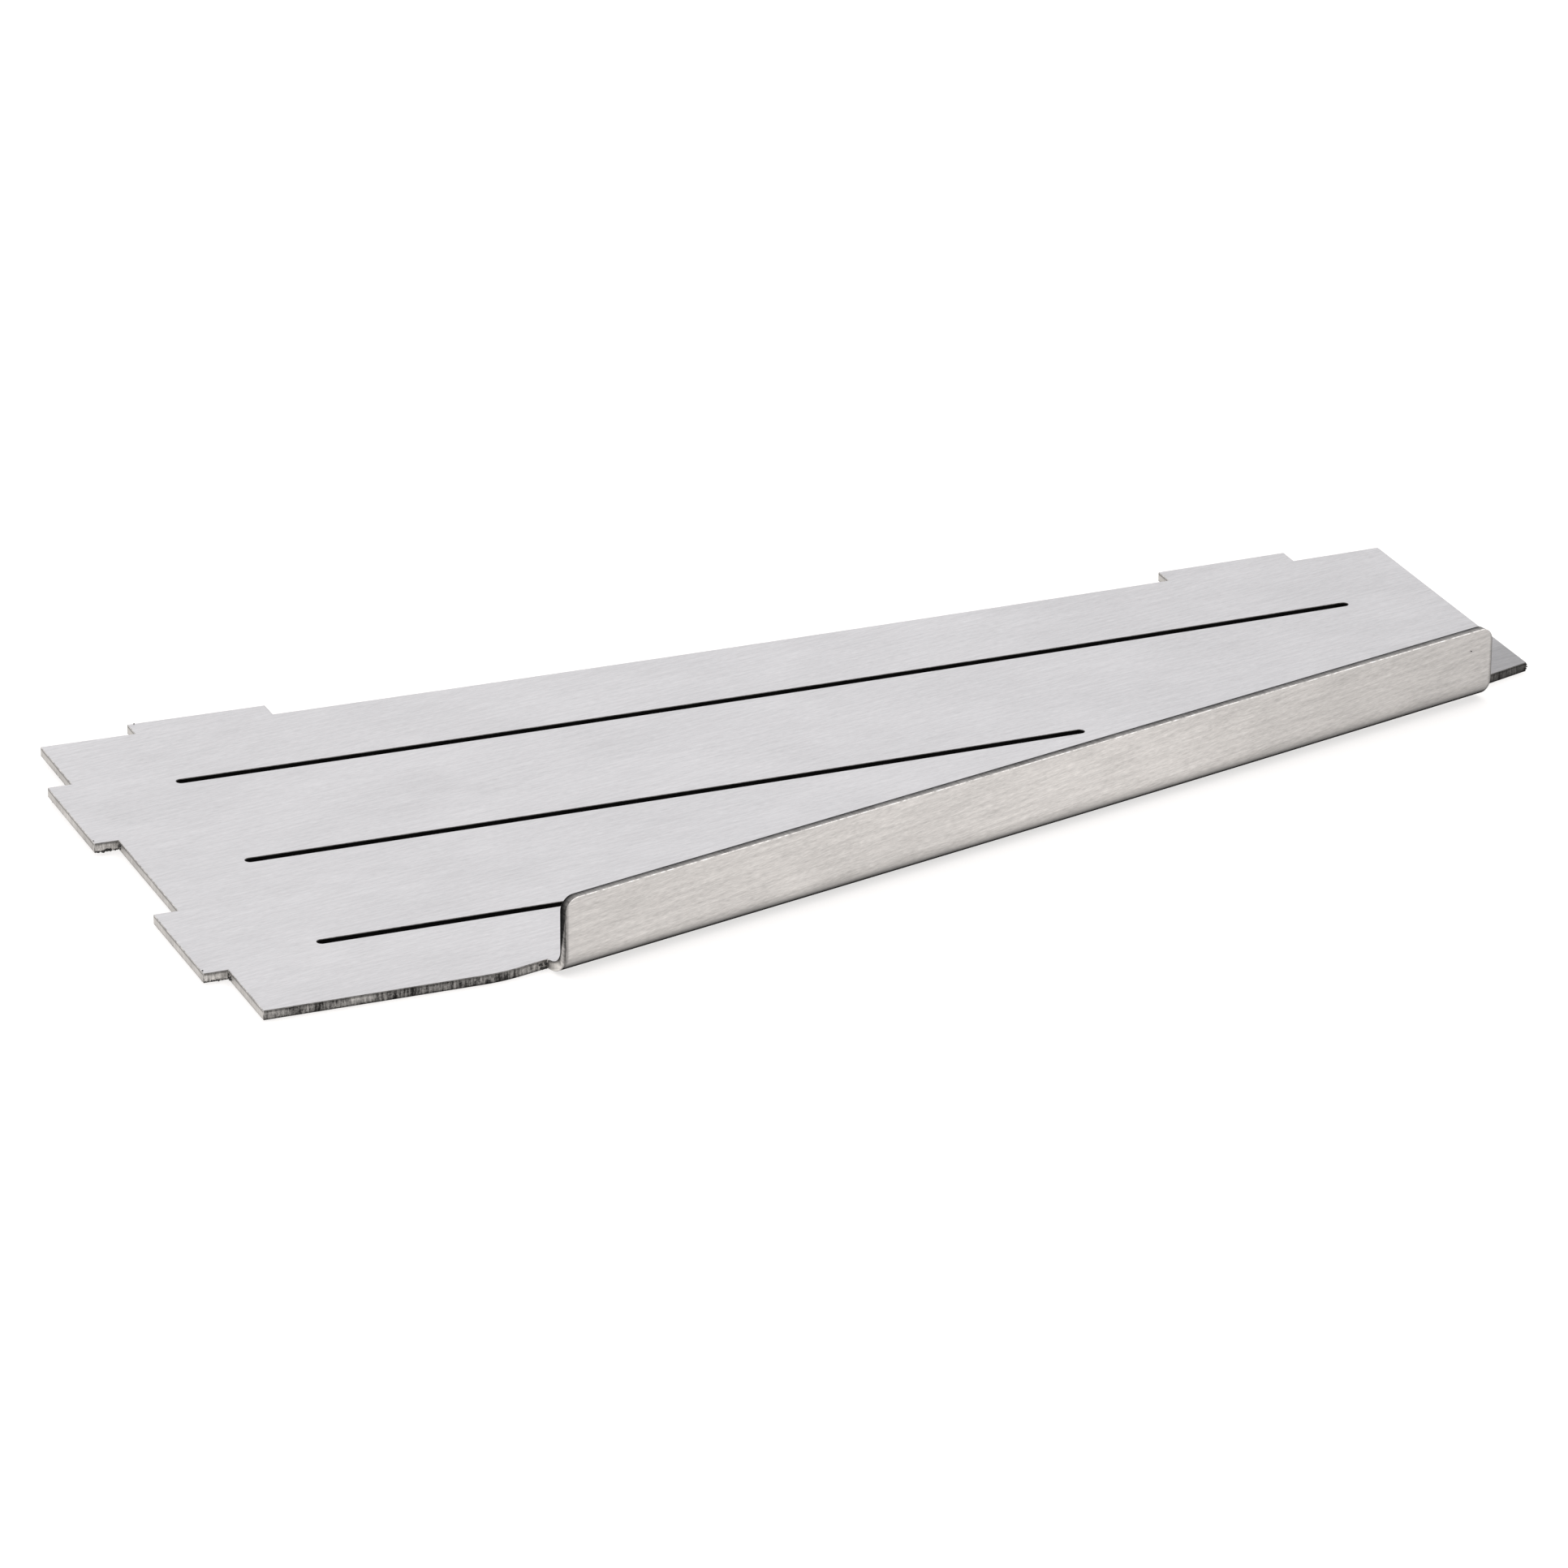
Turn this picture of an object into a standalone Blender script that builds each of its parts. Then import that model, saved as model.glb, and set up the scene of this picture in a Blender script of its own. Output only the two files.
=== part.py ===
"""Slide plate: one laser-cut stainless sheet with edge tabs and slits, folded up along its slanted front."""

import math

import bmesh
import bpy
from mathutils import Matrix, Vector

# Driving dimensions, in metres. The plate is drawn with its rear left corner at (0, 0),
# its rear edge along +X, and its top face at z = THICKNESS.
THICKNESS = 0.002
REAR_LENGTH = 0.300
LEFT_WIDTH = 0.135
RIGHT_WIDTH = 0.069

TAB_LENGTH = 0.0295
TAB_DEPTH = 0.005
TAB_INSET = 0.020

SLIT_WIDTH = 0.002
SLIT_INSET = 0.020
SLIT_FIRST_ROW = 0.026
SLIT_ROW_PITCH = 0.0415
SLIT_ENDS = (0.280, 0.200, 0.120)

SLANT_START = 0.048
SLANT_ANGLE = math.radians(14.5)
SLANT_RADIUS = 0.030

FLANGE_START = 0.0105
FLANGE_LENGTH = 0.234
FLANGE_HEIGHT = 0.0147
FLANGE_CORNER_RADIUS = 0.003
BEND_STEP = 0.0008
BEND_RADIUS = 0.0032

BEND_SEGMENTS = 14
CORNER_SEGMENTS = 10
SLIT_END_SEGMENTS = 10
SLANT_SEGMENTS = 8
SMOOTH_ANGLE = math.radians(25)

STEEL_COLOUR = (0.62, 0.61, 0.59, 1.0)
STEEL_ROUGHNESS = 0.42

SLANT_ALONG = Vector((math.cos(SLANT_ANGLE), math.sin(SLANT_ANGLE)))
SLANT_OUT = Vector((math.sin(SLANT_ANGLE), -math.cos(SLANT_ANGLE)))
UP = Vector((0.0, 0.0, 1.0))


def clear_scene():
    for obj in list(bpy.data.objects):
        bpy.data.objects.remove(obj, do_unlink=True)


def steel_material():
    material = bpy.data.materials.new("brushed_stainless")
    material.use_nodes = True
    shader = material.node_tree.nodes["Principled BSDF"]
    shader.inputs["Base Color"].default_value = STEEL_COLOUR
    shader.inputs["Metallic"].default_value = 1.0
    shader.inputs["Roughness"].default_value = STEEL_ROUGHNESS
    material.diffuse_color = STEEL_COLOUR
    return material


def rounded_corner(before, corner, after, radius, segments):
    """Points of the arc that rounds a corner, from the side of `before` to the side of `after`."""
    inward = (before - corner).normalized()
    onward = (after - corner).normalized()
    half_angle = inward.angle(onward) / 2
    middle = (inward + onward).normalized()
    centre = corner + middle * (radius / math.sin(half_angle))
    start = (corner + inward * (radius / math.tan(half_angle)) - centre).normalized()
    end = (corner + onward * (radius / math.tan(half_angle)) - centre).normalized()
    return [centre + start.slerp(end, i / segments) * radius for i in range(segments + 1)]


def tabs_along(start, along, out, length):
    """Corners of the two tabs that stand out of an edge, each inset from one end of it."""
    points = []
    for offset in (TAB_INSET, length - TAB_INSET - TAB_LENGTH):
        root = start + along * offset
        tip = root + along * TAB_LENGTH
        points += [root, root + out * TAB_DEPTH, tip + out * TAB_DEPTH, tip]
    return points


def slanted_corner():
    return Vector((SLANT_START, -LEFT_WIDTH))


def flange_ends():
    """The two points where the flange steps out of the slanted edge, left then right."""
    left = slanted_corner() + SLANT_ALONG * FLANGE_START
    return left, left + SLANT_ALONG * FLANGE_LENGTH


def plate_outline():
    """The flat part, counter-clockwise from above: (points left of the bend line, points right of it)."""
    rear_left = Vector((0.0, 0.0))
    rear_right = Vector((REAR_LENGTH, 0.0))
    front_left = Vector((0.0, -LEFT_WIDTH))
    flange_left, flange_right = flange_ends()
    slant = rounded_corner(front_left, slanted_corner(), flange_left, SLANT_RADIUS, SLANT_SEGMENTS)
    left_side = [rear_left]
    left_side += tabs_along(rear_left, Vector((0, -1)), Vector((-1, 0)), LEFT_WIDTH)
    left_side += [front_left] + slant + [flange_left, flange_left + SLANT_OUT * BEND_STEP]
    right_side = [flange_right + SLANT_OUT * BEND_STEP, flange_right]
    right_side += [Vector((REAR_LENGTH, -RIGHT_WIDTH)), rear_right]
    right_side += tabs_along(rear_right, Vector((-1, 0)), Vector((0, 1)), REAR_LENGTH)
    return left_side, right_side


def bend_point(end, angle):
    """A point on the inner face of the bend, at one end of the flange, after turning through an angle."""
    reach = BEND_STEP + BEND_RADIUS * math.sin(angle)
    height = THICKNESS + BEND_RADIUS * (1 - math.cos(angle))
    return (end + SLANT_OUT * reach).to_3d() + UP * height


def flange_top_corners():
    """The flange's free edge with its rounded corners, on the inner face, from left to right."""
    left, right = (bend_point(end, math.pi / 2) for end in flange_ends())
    rise = UP * (FLANGE_HEIGHT - BEND_RADIUS)
    top_left = left + rise
    top_right = right + rise
    points = rounded_corner(left, top_left, top_right, FLANGE_CORNER_RADIUS, CORNER_SEGMENTS)
    points += rounded_corner(top_left, top_right, right, FLANGE_CORNER_RADIUS, CORNER_SEGMENTS)
    return points


def folded_surface():
    """The sheet's upper face, which becomes the flange's inner face beyond the bend."""
    surface = bmesh.new()
    left_side, right_side = plate_outline()
    flat = [surface.verts.new(point.to_3d() + UP * THICKNESS) for point in left_side + right_side]
    surface.faces.new(flat)
    left = flat[len(left_side) - 1]
    right = flat[len(left_side)]
    for i in range(1, BEND_SEGMENTS + 1):
        angle = math.pi / 2 * i / BEND_SEGMENTS
        next_left, next_right = (surface.verts.new(bend_point(end, angle)) for end in flange_ends())
        surface.faces.new((right, left, next_left, next_right))
        left, right = next_left, next_right
    free_edge = [surface.verts.new(point) for point in flange_top_corners()]
    surface.faces.new([right, left] + free_edge)
    return surface


def add_object(name, shape):
    mesh = bpy.data.meshes.new(name)
    shape.to_mesh(mesh)
    shape.free()
    obj = bpy.data.objects.new(name, mesh)
    bpy.context.collection.objects.link(obj)
    return obj


def slit_outline(row_y, end_x):
    """A slit with round ends, counter-clockwise from above."""
    radius = SLIT_WIDTH / 2
    points = []
    for centre_x, first_angle in ((end_x - radius, -90), (SLIT_INSET + radius, 90)):
        for i in range(SLIT_END_SEGMENTS + 1):
            angle = math.radians(first_angle + 180 * i / SLIT_END_SEGMENTS)
            points.append((centre_x + radius * math.cos(angle), row_y + radius * math.sin(angle)))
    return points


def add_slit_cutter(name, row_y, end_x):
    cutter = bmesh.new()
    base = cutter.faces.new([cutter.verts.new((x, y, -THICKNESS)) for x, y in slit_outline(row_y, end_x)])
    raised = bmesh.ops.extrude_face_region(cutter, geom=[base])["geom"]
    raised_verts = [item for item in raised if isinstance(item, bmesh.types.BMVert)]
    bmesh.ops.translate(cutter, verts=raised_verts, vec=UP * 3 * THICKNESS)
    bmesh.ops.recalc_face_normals(cutter, faces=cutter.faces)
    obj = add_object(name, cutter)
    obj.hide_render = True
    obj.display_type = "WIRE"
    return obj


def thicken(obj):
    solidify = obj.modifiers.new("sheet_thickness", "SOLIDIFY")
    solidify.thickness = THICKNESS
    solidify.offset = -1
    solidify.use_even_offset = True
    solidify.use_quality_normals = True


def cut_slits(obj):
    for row, end_x in enumerate(SLIT_ENDS):
        row_y = -(SLIT_FIRST_ROW + row * SLIT_ROW_PITCH)
        cut = obj.modifiers.new(f"slit_{row + 1}", "BOOLEAN")
        cut.operation = "DIFFERENCE"
        cut.solver = "EXACT"
        cut.object = add_slit_cutter(f"slit_cutter_{row + 1}", row_y, end_x)


def apply_modifiers(obj):
    graph = bpy.context.evaluated_depsgraph_get()
    obj.data = bpy.data.meshes.new_from_object(obj.evaluated_get(graph))
    obj.modifiers.clear()


def centre_on_base(obj):
    """Puts the origin under the middle of the bounding box, on the plane of the underside."""
    points = [vertex.co for vertex in obj.data.vertices]
    low = Vector([min(point[axis] for point in points) for axis in range(3)])
    high = Vector([max(point[axis] for point in points) for axis in range(3)])
    middle = (low + high) / 2
    obj.data.transform(Matrix.Translation((-middle.x, -middle.y, -low.z)))


def add_slide_plate():
    plate = add_object("slide_plate", folded_surface())
    thicken(plate)
    cut_slits(plate)
    apply_modifiers(plate)
    centre_on_base(plate)
    plate.data.materials.clear()
    plate.data.materials.append(steel_material())
    plate.data.shade_smooth()
    plate.data.set_sharp_from_angle(angle=SMOOTH_ANGLE)


clear_scene()
add_slide_plate()
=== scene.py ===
"""The folded sheet of the slide plate, finished as brushed stainless with laser-cut edges."""

import math
import random

import bmesh
import bpy
import numpy as np
from mathutils import Matrix, Vector


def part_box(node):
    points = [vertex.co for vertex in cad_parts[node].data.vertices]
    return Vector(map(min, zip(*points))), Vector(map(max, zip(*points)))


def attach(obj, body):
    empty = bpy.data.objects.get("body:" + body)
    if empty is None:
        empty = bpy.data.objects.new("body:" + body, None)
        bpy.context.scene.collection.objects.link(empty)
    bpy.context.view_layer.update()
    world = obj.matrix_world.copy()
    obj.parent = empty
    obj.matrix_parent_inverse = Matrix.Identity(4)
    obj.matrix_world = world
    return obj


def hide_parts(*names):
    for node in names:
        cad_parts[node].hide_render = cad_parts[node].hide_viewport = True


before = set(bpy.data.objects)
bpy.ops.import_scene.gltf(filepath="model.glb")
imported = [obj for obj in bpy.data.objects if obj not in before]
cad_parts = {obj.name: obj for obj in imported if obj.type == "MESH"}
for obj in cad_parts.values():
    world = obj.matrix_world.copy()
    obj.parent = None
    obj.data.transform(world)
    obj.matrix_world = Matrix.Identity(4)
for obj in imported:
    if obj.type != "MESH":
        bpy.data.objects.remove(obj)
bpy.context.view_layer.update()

# Lengths are in metres and angles in radians, unless a comment says otherwise.

# The CAD sheet
NODE = "slide_plate"
THICKNESS = 0.002
BEND_RADIUS = 0.0032
BEND_STEP = 0.0008
TAB_DEPTH = 0.005

# How its mesh is read. A skin's normal has a z above LEVEL_NORMAL, and an upright cut's has one
# below UPRIGHT_NORMAL.
MERGE_DISTANCE = 1e-6
SLICE_TOLERANCE = 1e-7
FLAT_TOLERANCE = 1e-5
FLAT_ANGLE = math.radians(0.5)
SMOOTH_ANGLE = math.radians(30)
LEVEL_NORMAL = 0.999
UPRIGHT_NORMAL = 0.1

# How finely it is finished
EDGE_BEVEL = 0.00014
EDGE_BEVEL_SEGMENTS = 3
GRID = 0.006
GRAIN_ANGLE = math.radians(11)

# The sheet's material slots, in the order in which the end of this script fills them
SKIN, CUT, SLIT, WORN_AND_HIGHLIT_RIM, DROSS = range(5)


def blend(first, second, factor):
    return tuple(a + (b - a) * factor for a, b in zip(first, second))


def smoothstep(value, start, stop):
    """0 up to start and 1 from stop on, with a smooth ramp between them."""
    t = min(1.0, max(0.0, (value - start) / (stop - start)))
    return t * t * (3 - 2 * t)


# The CAD solid, read as a sheet

def merged_copy(node):
    """The CAD node's mesh in a new bmesh, with its split vertices and flat triangles joined up again."""
    shape = bmesh.new()
    shape.from_mesh(node.data)
    bmesh.ops.remove_doubles(shape, verts=shape.verts, dist=MERGE_DISTANCE)
    bmesh.ops.dissolve_limit(
        shape, angle_limit=FLAT_ANGLE, verts=shape.verts, edges=shape.edges, delimit=set()
    )
    shape.normal_update()
    return shape


def fold_axis(shape):
    """The direction of the fold: the longest edge that lies above the bend, pointing to +X."""
    above_bend = THICKNESS + BEND_RADIUS
    longest = Vector((0, 0, 0))
    for edge in shape.edges:
        low = min(vertex.co.z for vertex in edge.verts)
        along = edge.verts[1].co - edge.verts[0].co
        if low > above_bend and along.length > longest.length:
            longest = along
    axis = longest.normalized()
    return axis if axis.x > 0 else -axis


def flood_smooth(seed):
    """Faces reached from a face without crossing a sharp edge."""
    found = {seed}
    waiting = [seed]
    while waiting:
        for edge in waiting.pop().edges:
            if len(edge.link_faces) != 2 or edge.calc_face_angle(math.pi) > SMOOTH_ANGLE:
                continue
            for face in edge.link_faces:
                if face not in found:
                    found.add(face)
                    waiting.append(face)
    return found


def mark_faces(shape):
    """Marks the two rolled skins, the cut along the outline, and the walls of the slits."""
    for face in shape.faces:
        face.material_index = SLIT
    for sign in (1, -1):
        facing = [face for face in shape.faces if face.normal.z * sign > LEVEL_NORMAL]
        for face in flood_smooth(max(facing, key=lambda item: item.calc_area())):
            face.material_index = SKIN
    outermost = min(shape.verts, key=lambda vertex: vertex.co.x)
    waiting = [face for face in outermost.link_faces if face.material_index == SLIT]
    while waiting:
        face = waiting.pop()
        face.material_index = CUT
        for edge in face.edges:
            waiting += [other for other in edge.link_faces if other.material_index == SLIT]


class Fold:
    """Where the bend is, and how a point of the folded sheet lies in the flat blank."""

    def __init__(self, shape):
        self.along = fold_axis(shape)
        self.out = Vector((self.along.y, -self.along.x, 0))
        flange = [vertex.co for vertex in shape.verts if vertex.co.z > THICKNESS + BEND_RADIUS]
        reach = max(point.dot(self.out) for point in flange)
        self.bend_line = reach - THICKNESS - BEND_RADIUS
        self.start = min(point.dot(self.along) for point in flange)
        self.end = max(point.dot(self.along) for point in flange)
        self.top = max(point.z for point in flange)
        self.centre_z = THICKNESS + BEND_RADIUS
        self.middle_radius = BEND_RADIUS + THICKNESS / 2

    def share(self, point):
        """How far along the flange a point is: 0 at its left end, 1 at its right end."""
        return (point.dot(self.along) - self.start) / (self.end - self.start)

    def is_folded(self, point):
        along = point.dot(self.along)
        inside = self.start - FLAT_TOLERANCE < along < self.end + FLAT_TOLERANCE
        return inside and point.dot(self.out) > self.bend_line

    def turn(self, point):
        """How far round the bend a point is, from 0 on the plate to a quarter turn on the flange."""
        if not self.is_folded(point):
            return 0.0
        below = self.centre_z - point.z
        if below <= 0:
            return math.pi / 2
        return math.atan2(point.dot(self.out) - self.bend_line, below)

    def unfolded(self, point):
        """(x, y, depth under the upper skin) of a point in the flat blank."""
        turn = self.turn(point)
        if turn == 0:
            return Vector((point.x, point.y, THICKNESS - point.z))
        past_line = point.dot(self.out) - self.bend_line
        flat_out = self.bend_line + self.middle_radius * turn
        if point.z > self.centre_z:
            flat_out += point.z - self.centre_z
            depth = past_line - BEND_RADIUS
        else:
            depth = math.hypot(past_line, self.centre_z - point.z) - BEND_RADIUS
        flat = self.along * point.dot(self.along) + self.out * flat_out
        return Vector((flat.x, flat.y, depth))

    def grain(self, point):
        """The brushing direction at a point: one direction in the blank, carried round the fold."""
        turn = self.turn(point)
        flat = Vector((math.cos(GRAIN_ANGLE), math.sin(GRAIN_ANGLE), 0))
        outward = self.out * math.cos(turn) + Vector((0, 0, math.sin(turn)))
        return self.along * flat.dot(self.along) + outward * flat.dot(self.out)


# Rounded rims, and faces small enough to bow

def bevel_sharp_edges(shape):
    sharp = [edge for edge in shape.edges if edge.calc_face_angle(0) > SMOOTH_ANGLE]
    bmesh.ops.bevel(
        shape, geom=sharp, offset=EDGE_BEVEL, segments=EDGE_BEVEL_SEGMENTS, profile=0.5,
        affect="EDGES", material=WORN_AND_HIGHLIT_RIM, clamp_overlap=False,
    )


def slice_at(shape, place, normal):
    geometry = shape.verts[:] + shape.edges[:] + shape.faces[:]
    bmesh.ops.bisect_plane(
        shape, geom=geometry, dist=SLICE_TOLERANCE, plane_co=place, plane_no=normal
    )


def slice_into_grid(shape, box, fold):
    """Cuts the faces along an even grid, so that the sheet can bow, and just inside the flange's ends."""
    low, high = box
    for axis in range(2):
        normal = Vector((0, 0, 0))
        normal[axis] = 1
        count = math.ceil((high[axis] - low[axis]) / GRID)
        for i in range(1, count):
            place = low.copy()
            place[axis] += (high[axis] - low[axis]) * i / count
            slice_at(shape, place, normal)
    for along in (fold.start + END_TINT_WIDTH, fold.end - END_TINT_WIDTH):
        slice_at(shape, fold.along * along, fold.along)


# Bow of the sheet: it isn't quite flat, and its ends stand off the floor

BOW_CENTRE = (0.0075, -0.0034)
BOW_SPAN = (0.155, 0.070)
BOW_LENGTHWISE = 0.00058
BOW_TWIST = -0.00015
BOW_ACROSS = 0.00023
BOW_REAR = 0.00023
FLANGE_RISE = -0.00012


def bow(point, fold):
    """How far the sheet rises at a point. The flange's free edge stays straight."""
    x = (point.x - BOW_CENTRE[0]) / BOW_SPAN[0]
    y = (point.y - BOW_CENTRE[1]) / BOW_SPAN[1]
    rise = BOW_LENGTHWISE * x * x + BOW_TWIST * x * y + BOW_ACROSS * y * y + BOW_REAR * x * x * y
    stiff = 0.0
    if fold.turn(point) > 0:
        stiff = min(1.0, max(0.0, point.z - THICKNESS) / (fold.top - THICKNESS))
    return rise * (1 - stiff) + FLANGE_RISE * stiff


def bow_and_settle(mesh, points, sheet_count, fold):
    """Bows the sheet, and lets it down until its lowest point is on the floor.

    Beads that hang lower than the sheet are flattened against the floor.
    """
    rises = [bow(point, fold) for point in points]
    lowest = min(point.z + rise for point, rise in zip(points[:sheet_count], rises))
    for vertex, rise in zip(mesh.vertices, rises):
        vertex.co.z = max(0.0, vertex.co.z + rise - lowest)


# How the cut edges look from place to place: the brightness of the metal on the upper rim, on the
# lower rim and on the wall, how much brighter the wall gets for each millimetre of depth, the
# strength of its striations, and how black its dross zone is. These brightnesses are partly the
# cut's own tone and partly painted light and shade set by the way a cut faces: the plate's
# left-facing cuts are painted lighter and its front-facing cuts darker, the slit walls are painted
# near-black shade, and some rims carry painted highlights.

FRONT_CUT = (0.16, 0.032, 0.183, -0.030, 1.45, 0.85)
SLANT_CUT = (0.23, 0.045, 0.279, -0.035, 1.10, 0.70)
TAB_FRONT_CUT = (0.16, 0.030, 0.49, 0.00, 0.75, 0.95)
LEFT_CUT = (0.53, 0.27, 0.49, 0.03, 0.25, 0.35)
OTHER_CUT = (0.34, 0.17, 0.41, 0.00, 0.45, 0.50)
# The slit walls are painted near-black as the shade in their recess, and the upper rim of a slit's front wall
# is a painted highlight.
SLIT_CUT = (0.10, 0.02, 0.006, 0.00, 0.30, 0.00)
SLIT_FRONT_CUT = (0.30, 0.02, 0.006, 0.00, 0.30, 0.00)
# The flange's upper cut carries a painted highlight on its lower rim, along the outer face.
FLANGE_TOP_CUT = (0.08, 0.80, 0.19, 0.22, 0.35, 0.00)
FLANGE_END_CUT = (0.01, 0.20, 0.026, 0.058, 0.90, 0.00)
RIGHT_CORNER_CUT = (0.12, 0.015, 0.075, -0.030, 1.00, 0.90)
RIGHT_END_CUT = (0.02, 0.03, 0.030, 0.020, 0.90, 0.00)
BEND_END_CUT = (0.18, 0.35, 0.90, 0.00, 0.15, 0.10)

# A face looks squarely or roughly to the left or the front when its normal's x or y is below these.
SQUARELY = -0.7
ROUGHLY = -0.3
# The front wall of a slit looks backward: its normal's y is above this.
BACKWARD = 0.5
# The normal's x on the front cut, from its straight stretch to its slanted one
SLANT_NORMALS = (0.10, 0.24)
# Heights between which the bright end of the bend turns into the darker end of the flange
BEND_END_HEIGHTS = (0.0018, 0.0040)


def is_by_left_tabs(x, box):
    """Whether a place is in the strip along the left end that only the left tabs reach into."""
    return x < box[0].x + TAB_DEPTH + FLAT_TOLERANCE


def cut_look(point, normal, fold, box):
    """The look of the cut edge at a point of the outline."""
    in_right_half = fold.share(point) > 0.5
    if fold.is_folded(point):
        upright = RIGHT_END_CUT if in_right_half else FLANGE_END_CUT
        end = blend(BEND_END_CUT, upright, smoothstep(point.z, *BEND_END_HEIGHTS))
        return blend(end, FLANGE_TOP_CUT, max(0.0, normal.z) ** 2)
    if normal.x < SQUARELY:
        return LEFT_CUT
    if normal.y >= ROUGHLY:
        return OTHER_CUT
    if is_by_left_tabs(point.x, box):
        return TAB_FRONT_CUT
    if in_right_half:
        return RIGHT_CORNER_CUT
    return blend(FRONT_CUT, SLANT_CUT, smoothstep(normal.x, *SLANT_NORMALS))


def average(looks):
    return tuple(sum(values) / len(looks) for values in zip(*looks))


def cut_looks(shape, fold, box):
    """Each vertex's look, carried from the cuts over their rims. It isn't used on the skins."""
    looks = {}
    for vertex in shape.verts:
        found = []
        for face in vertex.link_faces:
            if face.material_index == CUT:
                found.append(cut_look(vertex.co, face.normal, fold, box))
            elif face.material_index == SLIT:
                found.append(SLIT_FRONT_CUT if face.normal.y > BACKWARD else SLIT_CUT)
        if found:
            looks[vertex] = average(found)
    for _ in range(EDGE_BEVEL_SEGMENTS):
        reached = {}
        for vertex in shape.verts:
            if vertex in looks or all(face.material_index != WORN_AND_HIGHLIT_RIM for face in vertex.link_faces):
                continue
            near = [edge.other_vert(vertex) for edge in vertex.link_edges]
            near = [looks[other] for other in near if other in looks]
            if near:
                reached[vertex] = average(near)
        looks.update(reached)
    return [looks.get(vertex, OTHER_CUT) for vertex in shape.verts]


# How the rolled skin looks from place to place. A shade is the part of the brightness that is lost.

# The right part of the plate's upper face, and its corner beyond the flange's right end: both are darkened by
# painted shade
RIGHT_SHADE = 0.055
RIGHT_SHADE_X = (0.0, 0.15)
CORNER_SHADE = 0.40
CORNER_PAST_FLANGE = (-0.012, 0.001)
CORNER_PAST_BEND = (-0.026, -0.009)

# The flange: its strongly marked streaks, and the tone of its outer face, which is painted shade that keeps
# it darker than the plate
FLANGE_STREAKS = 1.8
FLANGE_BRIGHTNESS = 0.87
FLANGE_RIGHT_SHADE = 0.17
FLANGE_RIGHT_SHARES = (0.55, 1.0)
FLANGE_LEFT_SHADE = 0.06
FLANGE_LEFT_SHARES = (0.25, 0.0)
END_TINT = 0.60
END_TINT_WIDTH = 0.0008

# The outside of the bend, by how far round it a point is in degrees: it is as bright as the plate
# where it starts, and then comes a band of painted shade, almost black, that stands in for the
# shadow under the bend and fades out up the flange. The flange's foot above it carries a milder
# painted shade.
BEND_PAINTED_LOOK_TURNS = (5, 16)
BEND_SHADE = 0.012
BEND_SHADE_TURNS = (42, 70)
LOWER_SHADE = 0.22
LOWER_SHADE_TURNS = (60, 92)


def plate_brightness(point, fold):
    """The tone of the plate: even below, and above darkened by painted shade at the right and beyond the
    flange's end.
    """
    if point.z < THICKNESS / 2:
        return 1.0
    right = RIGHT_SHADE * smoothstep(point.x, *RIGHT_SHADE_X)
    past_flange = point.dot(fold.along) - fold.end
    past_bend = point.dot(fold.out) - fold.bend_line
    corner = smoothstep(past_flange, *CORNER_PAST_FLANGE) * smoothstep(past_bend, *CORNER_PAST_BEND)
    return 1 - right - CORNER_SHADE * corner


def flange_brightness(point, turn, fold):
    """The tone of the outer face, held below the plate's as painted shade: darker towards both ends, darker
    at its foot by painted shade, and darker right at its end cuts.
    """
    share = fold.share(point)
    right = FLANGE_RIGHT_SHADE * smoothstep(share, *FLANGE_RIGHT_SHARES)
    left = FLANGE_LEFT_SHADE * smoothstep(share, *FLANGE_LEFT_SHARES)
    foot = LOWER_SHADE * (1 - smoothstep(turn, *LOWER_SHADE_TURNS))
    along = point.dot(fold.along)
    from_end = min(along - fold.start, fold.end - along)
    end = END_TINT * (1 - smoothstep(from_end, 0, END_TINT_WIDTH))
    return (FLANGE_BRIGHTNESS - right - left) * (1 - foot) * (1 - end)


def skin_look(point, fold):
    """(brightness with its painted shade, strength of the streaks, share of the painted warm reflection) of
    the rolled skin at a point.
    """
    if not fold.is_folded(point):
        return plate_brightness(point, fold), 1.0, 0.0
    is_outer = fold.unfolded(point).z > THICKNESS / 2
    if not is_outer:
        return 1.0, FLANGE_STREAKS, 0.0
    turn = math.degrees(fold.turn(point))
    flange = flange_brightness(point, turn, fold)
    lit = BEND_SHADE + (flange - BEND_SHADE) * smoothstep(turn, *BEND_SHADE_TURNS)
    painted_share = smoothstep(turn, *BEND_PAINTED_LOOK_TURNS)
    return 1 + (lit - 1) * painted_share, FLANGE_STREAKS, painted_share


# Dross and other specks: beads of melted steel on the cuts and beside them

SEED = 7

# A bead's length, width and height, and how lumpy it is, as parts of its radius
BEAD_LENGTHS = (0.8, 1.7)
BEAD_WIDTHS = (0.7, 1.1)
BEAD_HEIGHTS = (0.6, 1.0)
BEAD_LUMPS = 0.18

# Rows of beads: how far apart they are, and the largest radius. A bead's radius is that one times
# the square of a size, its lift is a part of its own radius, a step is a part of the distance, and
# the inset is a part of the rim's width.
TAB_FRONT_ROW = (0.00050, 0.00050)
FRONT_ROW = (0.0012, 0.00013)
OTHER_ROW = (0.0030, 0.00010)
ROW_SIZES = (0.35, 1.0)
ROW_LIFTS = (-0.2, 0.6)
ROW_STEPS = (0.35, 1.65)
ROW_INSET = 0.3

# Clumps of beads: their sizes are parts of the radius, and their heights are parts of the thickness
CLUMP_COUNT = 9
CLUMP_LENGTH = 0.0018
CLUMP_RADIUS = 0.00034
CLUMP_SIZES = (0.4, 1.0)
CLUMP_HEIGHTS = (0.1, 0.7)

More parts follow.
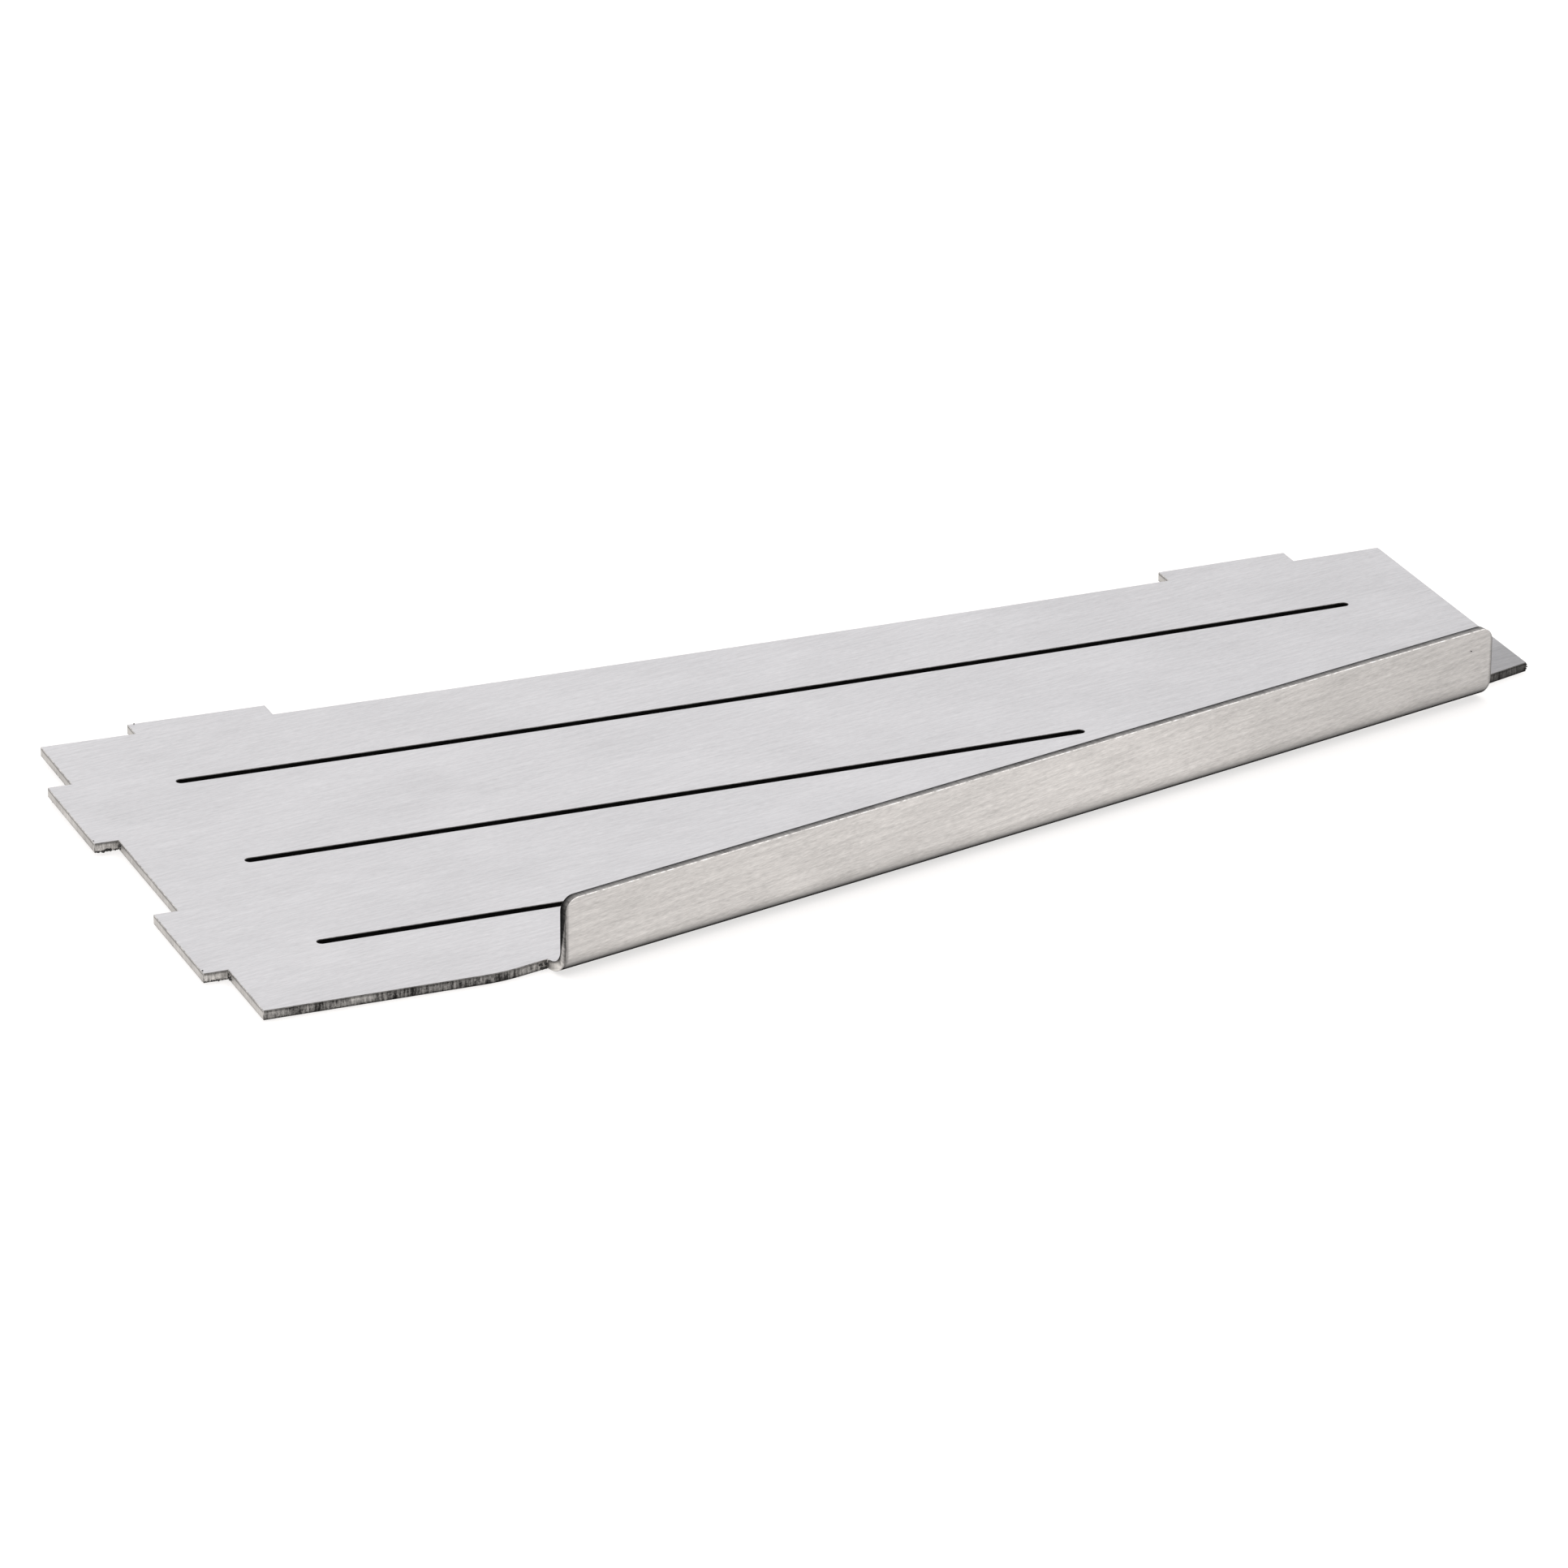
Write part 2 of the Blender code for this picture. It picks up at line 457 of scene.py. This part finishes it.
# Stubs of the tags that held the sheet in its nest, as offsets from a tab's corner
PIP_RADIUS = 0.00017
LEFT_PIP_OFFSET = Vector((0.0003, 0.0014, 0))
REAR_PIP_OFFSET = Vector((0.0014, -0.0002, 0))

BURR_RADIUS = 0.00030
BURR_HEIGHTS = (0.0006, 0.0011, 0.0016)

FLECK_RADIUS = 0.00016
FLECK_FROM_END = 0.0057
FLECK_BELOW_TOP = 0.0043


def add_bead(shape, place, radius, rng):
    """One bead, squashed and a little lumpy."""
    turn = Matrix.Rotation(rng.uniform(0, math.tau), 4, "Z")
    sizes = (rng.uniform(*BEAD_LENGTHS), rng.uniform(*BEAD_WIDTHS), rng.uniform(*BEAD_HEIGHTS), 1)
    matrix = Matrix.Translation(place) @ turn @ Matrix.Diagonal(sizes)
    made = bmesh.ops.create_icosphere(shape, subdivisions=2, radius=radius, matrix=matrix)
    for vertex in made["verts"]:
        vertex.co += (vertex.co - place) * rng.uniform(-BEAD_LUMPS, BEAD_LUMPS)
    for face in {face for vertex in made["verts"] for face in vertex.link_faces}:
        face.material_index = DROSS


def add_bead_row(shape, start, end, row, rng):
    """A broken row of beads along a cut's lower edge."""
    spacing, radius = row
    length = (end - start).length
    at = rng.uniform(0, spacing)
    while at < length:
        size = radius * rng.uniform(*ROW_SIZES) ** 2
        place = start.lerp(end, at / length)
        place.z += rng.uniform(*ROW_LIFTS) * size
        add_bead(shape, place, size, rng)
        at += spacing * rng.uniform(*ROW_STEPS)


def lower_outline(shape, fold):
    """The lower edges of the outline's cut, away from the flange, each with the cut's normal."""
    found = []
    for edge in shape.edges:
        if any(vertex.co.z > FLAT_TOLERANCE or fold.is_folded(vertex.co) for vertex in edge.verts):
            continue
        cut = [face for face in edge.link_faces if face.material_index == CUT]
        if len(cut) == 1 and abs(cut[0].normal.z) < UPRIGHT_NORMAL:
            found.append((edge.verts[0].co.copy(), edge.verts[1].co.copy(), cut[0].normal.copy()))
    return found


def add_rows(shape, edges, box, rng):
    """Rows along the outline: heavy on the left tabs' fronts, fine on other fronts, sparse elsewhere."""
    for start, end, normal in edges:
        inset = Vector((0, 0, EDGE_BEVEL)) - normal * EDGE_BEVEL * ROW_INSET
        row = OTHER_ROW
        if normal.y < SQUARELY:
            row = TAB_FRONT_ROW if is_by_left_tabs(max(start.x, end.x), box) else FRONT_ROW
        add_bead_row(shape, start + inset, end + inset, row, rng)


def clump_starts(shape, box, fold):
    """Corners where dross gathered, each with the direction that its clump runs in along the cut.

    They are the inner front corners of the two left tabs, and the notch at the flange's left end.
    """
    inner = [
        vertex.co.copy() for vertex in shape.verts
        if abs(vertex.co.x - box[0].x - TAB_DEPTH) < FLAT_TOLERANCE and vertex.co.z < FLAT_TOLERANCE
    ]
    inner.sort(key=lambda co: co.y)
    notch = fold.along * fold.start + fold.out * (fold.bend_line - BEND_STEP)
    return [(corner, Vector((0, -1, 0))) for corner in inner[1::2][:2]] + [(notch, -fold.along)]


def add_clump(shape, corner, direction, rng):
    """A short heap of beads against the cut, from a corner on."""
    for _ in range(CLUMP_COUNT):
        height = Vector((0, 0, rng.uniform(*CLUMP_HEIGHTS) * THICKNESS))
        place = corner + direction * rng.uniform(0, CLUMP_LENGTH) + height
        add_bead(shape, place, CLUMP_RADIUS * rng.uniform(*CLUMP_SIZES), rng)


def pip_places(shape, box):
    """By the outer front corner of each left tab, and the outer left corner of the left rear tab."""
    low, high = box
    corners = [vertex.co.copy() for vertex in shape.verts if vertex.co.z > THICKNESS - FLAT_TOLERANCE]
    left = sorted((co for co in corners if co.x < low.x + FLAT_TOLERANCE), key=lambda co: co.y)
    rear = sorted((co for co in corners if co.y > high.y - FLAT_TOLERANCE), key=lambda co: co.x)
    return [corner + LEFT_PIP_OFFSET for corner in left[0::2]] + [rear[0] + REAR_PIP_OFFSET]


def burr_places(shape, box):
    """Points up the sharp corner at the right front, where a burr stands."""
    right = [vertex.co for vertex in shape.verts if vertex.co.x > box[1].x - FLAT_TOLERANCE]
    corner = min(right, key=lambda co: co.y)
    return [Vector((corner.x - BURR_RADIUS / 2, corner.y, height)) for height in BURR_HEIGHTS]


def fleck_place(fold):
    """A speck of spatter on the outer face of the flange, near its right end."""
    outer = fold.bend_line + BEND_RADIUS + THICKNESS
    flat = fold.along * (fold.end - FLECK_FROM_END) + fold.out * outer
    return Vector((flat.x, flat.y, fold.top - FLECK_BELOW_TOP))


class BeadPlan:
    """Where all the beads go. It is read off the sheet while its edges are still sharp."""

    def __init__(self, shape, fold, box):
        self.box = box
        self.edges = lower_outline(shape, fold)
        self.pips = pip_places(shape, box)
        self.burrs = burr_places(shape, box)
        self.fleck = fleck_place(fold)
        self.clumps = clump_starts(shape, box, fold)

    def add_to(self, shape):
        rng = random.Random(SEED)
        add_rows(shape, self.edges, self.box, rng)
        for place in self.pips:
            add_bead(shape, place, PIP_RADIUS, rng)
        for place in self.burrs:
            add_bead(shape, place, BURR_RADIUS, rng)
        add_bead(shape, self.fleck, FLECK_RADIUS, rng)
        for corner, direction in self.clumps:
            add_clump(shape, corner, direction, rng)


# The whole sheet

def store_looks(mesh, points, looks, fold):
    """What the materials read at each vertex. Places in the blank are in millimetres."""
    attributes = {
        "blank_place": [fold.unfolded(point) * 1000 for point in points],
        "grain": [fold.grain(point) for point in points],
        "rims_and_wall": [look[:3] for look in looks],
        "wall_detail": [look[3:] for look in looks],
        "skin_look": [skin_look(point, fold) for point in points],
    }
    for name, values in attributes.items():
        attribute = mesh.attributes.new(name, "FLOAT_VECTOR", "POINT")
        attribute.data.foreach_set("vector", np.array(values, np.float32).ravel())


def add_sheet_object(mesh):
    sheet = bpy.data.objects.new("folded_sheet", mesh)
    bpy.context.scene.collection.objects.link(sheet)
    normals = sheet.modifiers.new("flat_faces_stay_flat", "WEIGHTED_NORMAL")
    normals.weight = 80
    normals.keep_sharp = True
    return sheet


def folded_sheet():
    """The whole sheet with its rounded edges and beads, its looks and its slight bow."""
    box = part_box(NODE)
    shape = merged_copy(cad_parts[NODE])
    fold = Fold(shape)
    mark_faces(shape)
    beads = BeadPlan(shape, fold, box)
    bevel_sharp_edges(shape)
    slice_into_grid(shape, box, fold)
    shape.normal_update()
    looks = cut_looks(shape, fold, box)
    sheet_count = len(shape.verts)
    beads.add_to(shape)
    looks += [OTHER_CUT] * (len(shape.verts) - sheet_count)
    mesh = bpy.data.meshes.new("folded_sheet")
    shape.to_mesh(mesh)
    shape.free()
    points = [vertex.co.copy() for vertex in mesh.vertices]
    store_looks(mesh, points, looks, fold)
    bow_and_settle(mesh, points, sheet_count, fold)
    mesh.shade_smooth()
    return add_sheet_object(mesh)


# Materials

class Nodes:
    """A small helper that adds shader nodes to one material and links them."""

    def __init__(self, name):
        self.material = bpy.data.materials.new(name)
        self.material.use_nodes = True
        self.tree = self.material.node_tree
        self.shader = self.tree.nodes["Principled BSDF"]

    def add(self, kind, **settings):
        node = self.tree.nodes.new(kind)
        for key, value in settings.items():
            setattr(node, key, value)
        return node

    def link(self, source, target):
        self.tree.links.new(source, target)

    def feed(self, socket, value):
        if isinstance(value, (int, float)):
            socket.default_value = value
        else:
            self.link(value, socket)

    def math(self, operation, first, second):
        node = self.add("ShaderNodeMath", operation=operation)
        self.feed(node.inputs[0], first)
        self.feed(node.inputs[1], second)
        return node.outputs[0]

    def times(self, first, second):
        return self.math("MULTIPLY", first, second)

    def plus(self, first, second):
        return self.math("ADD", first, second)

    def minus(self, first, second):
        return self.math("SUBTRACT", first, second)

    def weighted(self, *terms):
        """The sum of numbers, each times its weight."""
        total = None
        for value, weight in terms:
            term = self.times(value, weight)
            total = term if total is None else self.plus(total, term)
        return total

    def parts(self, name):
        """The three numbers of a vector attribute."""
        attribute = self.add("ShaderNodeAttribute", attribute_name=name)
        split = self.add("ShaderNodeSeparateXYZ")
        self.link(attribute.outputs["Vector"], split.inputs[0])
        return split.outputs[:]

    def place(self, scale, turn=0.0):
        """The point's place in the flat blank, in millimetres, turned about the blank's normal and scaled."""
        attribute = self.add("ShaderNodeAttribute", attribute_name="blank_place")
        rotate = self.add("ShaderNodeMapping")
        rotate.inputs["Rotation"].default_value = (0, 0, turn)
        self.link(attribute.outputs["Vector"], rotate.inputs["Vector"])
        stretch = self.add("ShaderNodeMapping")
        stretch.inputs["Scale"].default_value = scale
        self.link(rotate.outputs["Vector"], stretch.inputs["Vector"])
        return stretch.outputs["Vector"]

    def noise(self, scale, detail=3.0, roughness=0.55, turn=0.0):
        noise = self.add("ShaderNodeTexNoise")
        noise.inputs["Scale"].default_value = 1.0
        noise.inputs["Detail"].default_value = detail
        noise.inputs["Roughness"].default_value = roughness
        self.link(self.place(scale, turn), noise.inputs["Vector"])
        return noise.outputs["Fac"]

    def map_range(self, value, low, high, to_low, to_high):
        node = self.add("ShaderNodeMapRange")
        for socket, number in zip(list(node.inputs)[1:5], (low, high, to_low, to_high)):
            self.feed(socket, number)
        self.link(value, node.inputs["Value"])
        return node.outputs["Result"]

    def tint(self, brightness, shares):
        """A colour whose brightness is the given number, shared out over red, green and blue."""
        node = self.add("ShaderNodeCombineXYZ")
        for socket, share in zip(node.inputs, shares):
            self.link(self.times(brightness, share), socket)
        return node.outputs[0]

    def bump(self, height, strength, distance):
        node = self.add("ShaderNodeBump")
        node.inputs["Strength"].default_value = strength
        node.inputs["Distance"].default_value = distance
        self.link(height, node.inputs["Height"])
        self.link(node.outputs["Normal"], self.shader.inputs["Normal"])

    def set(self, **values):
        """Sets sockets of the shader itself, each to a plain value or to what a node gives."""
        for name, value in values.items():
            socket = self.shader.inputs[name.replace("_", " ")]
            if hasattr(value, "is_linked"):
                self.link(value, socket)
            else:
                socket.default_value = value


SKIN_BRIGHTNESS = 0.683
SKIN_TINT = (1.0, 0.990, 0.992)
# The warm tint is a painted reflection of a warm floor, laid on the outer bend and flange.
WARM_REFLECTION_TINT = (1.0, 0.966, 0.932)
CUT_TINT = (1.035, 1.0, 0.955)

# How often each pattern repeats in a millimetre of the blank: along the grain, across it and in depth
FINE_STREAKS = (0.58, 4.6, 1.0)
BROAD_STREAKS = (0.10, 1.3, 1.0)
# The same for patterns that don't follow the grain: along X, along Y and in depth
CLOUDS = (0.03, 0.05, 1.0)
STRIATIONS = (2.0, 2.0, 0.25)
CUT_PATCHES = (0.13, 0.13, 0.3)
CUT_GRIT = (4.0, 4.0, 4.0)
RIM_WEAR = (0.9, 0.9, 0.9)
DROSS_GRIT = (3.0, 3.0, 3.0)

# Most of what a noise gives lies between these.
NOISE_SPAN = (0.35, 0.65)

SKIN_CONTRAST = 0.85
CUT_CONTRAST = 7.0
# The least that striations leave of the wall's brightness, and the darkest that a cut gets
DARKEST_SPREAD = 0.12
DARKEST_CUT = 0.004

# Below this brightness, as on the painted shade under the bend, the skin loses its metal shine bit by bit, so
# that the painted shade reflects nothing.
SHINY_BRIGHTNESS = 0.30

# Depths under the upper skin are in millimetres from here on.
MIDDLE_DEPTH = 1.0
RIM_DEPTHS = (0.9, 1.1)
# The darker band of first melt under the upper rim: its brightness, and where it fades out
MELT_BAND = 0.42
MELT_DEPTHS = (0.30, 0.62)
# The dross zone in the lower part of the cut: where it begins, and how ragged that edge is
DROSS_DEPTHS = (1.55, 1.85)
DROSS_RAGGEDNESS = 1.6


def brushed_skin():
    """Brushed stainless: short fine streaks along the grain, over broader bands and faint clouds."""
    nodes = Nodes("brushed_skin")
    brightness, strength, warm_reflection = nodes.parts("skin_look")
    fine = nodes.noise(FINE_STREAKS, detail=4.0, roughness=0.62, turn=-GRAIN_ANGLE)
    broad = nodes.noise(BROAD_STREAKS, detail=3.0, roughness=0.5, turn=-GRAIN_ANGLE)
    clouds = nodes.noise(CLOUDS, detail=2.0, roughness=0.5)
    streaks = nodes.weighted((fine, 0.62), (broad, 0.38))
    tone = nodes.weighted((streaks, 0.8), (clouds, 0.2))
    contrast = nodes.times(nodes.minus(tone, 0.5), nodes.times(strength, SKIN_CONTRAST))
    shade = nodes.times(nodes.plus(contrast, 1.0), brightness)
    # The outer bend and flange take the warm tint, a painted reflection of a warm floor.
    shares = [nodes.map_range(warm_reflection, 0.0, 1.0, cool, warm) for cool, warm in zip(SKIN_TINT, WARM_REFLECTION_TINT)]
    nodes.set(
        Base_Color=nodes.tint(nodes.times(shade, SKIN_BRIGHTNESS), shares),
        Metallic=nodes.map_range(brightness, BEND_SHADE, SHINY_BRIGHTNESS, 0.0, 1.0),
        Specular_IOR_Level=0.0,
        Roughness=nodes.map_range(streaks, *NOISE_SPAN, 0.47, 0.35),
        Anisotropic=0.55,
        Anisotropic_Rotation=0.25,
    )
    grain = nodes.add("ShaderNodeAttribute", attribute_name="grain")
    nodes.link(grain.outputs["Vector"], nodes.shader.inputs["Tangent"])
    nodes.bump(streaks, strength=0.18, distance=0.00004)
    return nodes.material


def laser_cut(name):
    """A laser-cut edge: striations through the thickness, brown oxide, and a rough lower zone."""
    nodes = Nodes(name)
    _, _, wall = nodes.parts("rims_and_wall")
    slope, strength, burnt = nodes.parts("wall_detail")
    depth = nodes.parts("blank_place")[2]
    lines = nodes.noise(STRIATIONS, detail=3.0, roughness=0.6)
    patches = nodes.noise(CUT_PATCHES, detail=3.0, roughness=0.6)
    grit = nodes.noise(CUT_GRIT, detail=2.0, roughness=0.6)
    mixed = nodes.weighted((lines, 0.42), (patches, 0.38), (grit, 0.20))
    spread = nodes.times(nodes.minus(mixed, 0.5), nodes.times(strength, CUT_CONTRAST))
    sloped = nodes.plus(wall, nodes.times(nodes.minus(depth, MIDDLE_DEPTH), slope))
    tone = nodes.times(sloped, nodes.math("MAXIMUM", nodes.plus(spread, 1.0), DARKEST_SPREAD))
    tone = nodes.times(tone, nodes.map_range(depth, *MELT_DEPTHS, MELT_BAND, 1.0))
    ragged = nodes.plus(depth, nodes.times(nodes.minus(grit, 0.5), DROSS_RAGGEDNESS))
    zone = nodes.times(nodes.map_range(ragged, *DROSS_DEPTHS, 0.0, 1.0), burnt)
    tone = nodes.times(tone, nodes.minus(1.0, zone))
    nodes.set(
        Base_Color=nodes.tint(nodes.math("MAXIMUM", tone, DARKEST_CUT), CUT_TINT),
        Metallic=1.0,
        Roughness=nodes.map_range(mixed, *NOISE_SPAN, 0.62, 0.42),
    )
    nodes.bump(nodes.plus(lines, nodes.times(grit, 0.4)), strength=0.6, distance=0.00012)
    return nodes.material


def worn_and_highlit_rim():
    """The rounded rims of the cut: as bright as each cut's look gives, with painted highlights on some rims,
    and rubbed bright in places.
    """
    nodes = Nodes("worn_and_highlit_rim")
    upper, lower, _ = nodes.parts("rims_and_wall")
    depth = nodes.parts("blank_place")[2]
    rubbed = nodes.noise(RIM_WEAR, detail=3.0, roughness=0.6)
    rim = nodes.map_range(depth, *RIM_DEPTHS, upper, lower)
    shade = nodes.times(rim, nodes.map_range(rubbed, *NOISE_SPAN, 0.65, 1.35))
    nodes.set(
        Base_Color=nodes.tint(shade, CUT_TINT),
        Metallic=1.0,
        Roughness=nodes.map_range(rubbed, 0.3, 0.7, 0.45, 0.32),
    )
    return nodes.material


def dross():
    """Melted steel that froze on the cut, with a dull black oxide."""
    nodes = Nodes("dross")
    grit = nodes.noise(DROSS_GRIT, detail=2.0, roughness=0.6)
    nodes.set(
        Base_Color=nodes.tint(nodes.map_range(grit, *NOISE_SPAN, 0.012, 0.05), CUT_TINT),
        Metallic=0.6,
        Roughness=0.5,
    )
    return nodes.material


# Floor, lights and camera

FLOOR_SIZE = 6.0
FLOOR_COLOUR = (0.45, 0.44, 0.43, 1.0)
# The floor glows softly, so that it stays pale under the sheet's shadow.
FLOOR_GLOW_COLOUR = (1.0, 0.99, 0.98, 1.0)
FLOOR_GLOW = 0.65

WORLD_COLOUR = (0.985, 0.978, 1.0, 1.0)
WORLD_STRENGTH = 1.0
SOFTBOX_COLOUR = (1.0, 0.985, 0.96)

# The camera looks at CAMERA_AIM. Azimuth 0 would put it in front of the sheet, looking along +Y.
CAMERA_AIM = Vector((-0.01244, 0.00160, -0.00045))
CAMERA_AZIMUTH = math.radians(-22.85)
CAMERA_ELEVATION = math.radians(23.14)
CAMERA_ROLL = math.radians(0.456)
CAMERA_DISTANCE = 1.6643
LENS_MM = 190.49
SENSOR_MM = 36.0


def add_floor():
    mesh = bpy.data.meshes.new("floor")
    half = FLOOR_SIZE / 2
    corners = [(-half, -half, 0), (half, -half, 0), (half, half, 0), (-half, half, 0)]
    mesh.from_pydata(corners, [], [(0, 1, 2, 3)])
    floor = bpy.data.objects.new("floor", mesh)
    bpy.context.scene.collection.objects.link(floor)
    nodes = Nodes("pale_floor")
    nodes.set(Base_Color=FLOOR_COLOUR, Roughness=0.85, Specular_IOR_Level=0.2)
    nodes.set(Emission_Color=FLOOR_GLOW_COLOUR, Emission_Strength=FLOOR_GLOW)
    mesh.materials.append(nodes.material)


def add_softbox(name, place, size, watts):
    """A square area light that looks at the frame's origin."""
    light = bpy.data.lights.new(name, "AREA")
    light.shape = "RECTANGLE"
    light.size = size
    light.size_y = size
    light.energy = watts
    light.color = SOFTBOX_COLOUR
    box = bpy.data.objects.new(name, light)
    box.location = place
    box.rotation_euler = (-Vector(place)).to_track_quat("-Z", "Y").to_euler()
    bpy.context.scene.collection.objects.link(box)


def add_lights():
    world = bpy.data.worlds.new("studio")
    world.use_nodes = True
    background = world.node_tree.nodes["Background"]
    background.inputs["Color"].default_value = WORLD_COLOUR
    background.inputs["Strength"].default_value = WORLD_STRENGTH
    bpy.context.scene.world = world
    add_softbox("overhead_softbox", place=(0.0, -0.4, 2.0), size=3.0, watts=9.0)
    add_softbox("left_softbox", place=(-2.4, -0.4, 1.2), size=2.0, watts=4.5)


def camera_axes():
    """The camera's right, up and backward directions, as the columns of a matrix."""
    azimuth, elevation = CAMERA_AZIMUTH, CAMERA_ELEVATION
    back = Vector((
        math.sin(azimuth) * math.cos(elevation),
        -math.cos(azimuth) * math.cos(elevation),
        math.sin(elevation),
    ))
    right = Vector((math.cos(azimuth), math.sin(azimuth), 0))
    up = back.cross(right)
    rolled_right = right * math.cos(CAMERA_ROLL) + up * math.sin(CAMERA_ROLL)
    rolled_up = up * math.cos(CAMERA_ROLL) - right * math.sin(CAMERA_ROLL)
    return Matrix((rolled_right, rolled_up, back)).transposed()


def add_camera():
    data = bpy.data.cameras.new("camera")
    data.lens = LENS_MM
    data.sensor_width = SENSOR_MM
    data.clip_start = 0.05
    data.clip_end = 20.0
    camera = bpy.data.objects.new("camera", data)
    axes = camera_axes()
    place = CAMERA_AIM + axes.col[2] * CAMERA_DISTANCE
    camera.matrix_world = Matrix.Translation(place) @ axes.to_4x4()
    bpy.context.scene.collection.objects.link(camera)
    bpy.context.scene.camera = camera


sheet = folded_sheet()
for material in (brushed_skin(), laser_cut("laser_cut"), laser_cut("slit_wall"), worn_and_highlit_rim(), dross()):
    sheet.data.materials.append(material)
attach(sheet, "root")
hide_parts(NODE)

add_floor()
add_lights()
add_camera()
bpy.context.scene.view_settings.view_transform = "Standard"
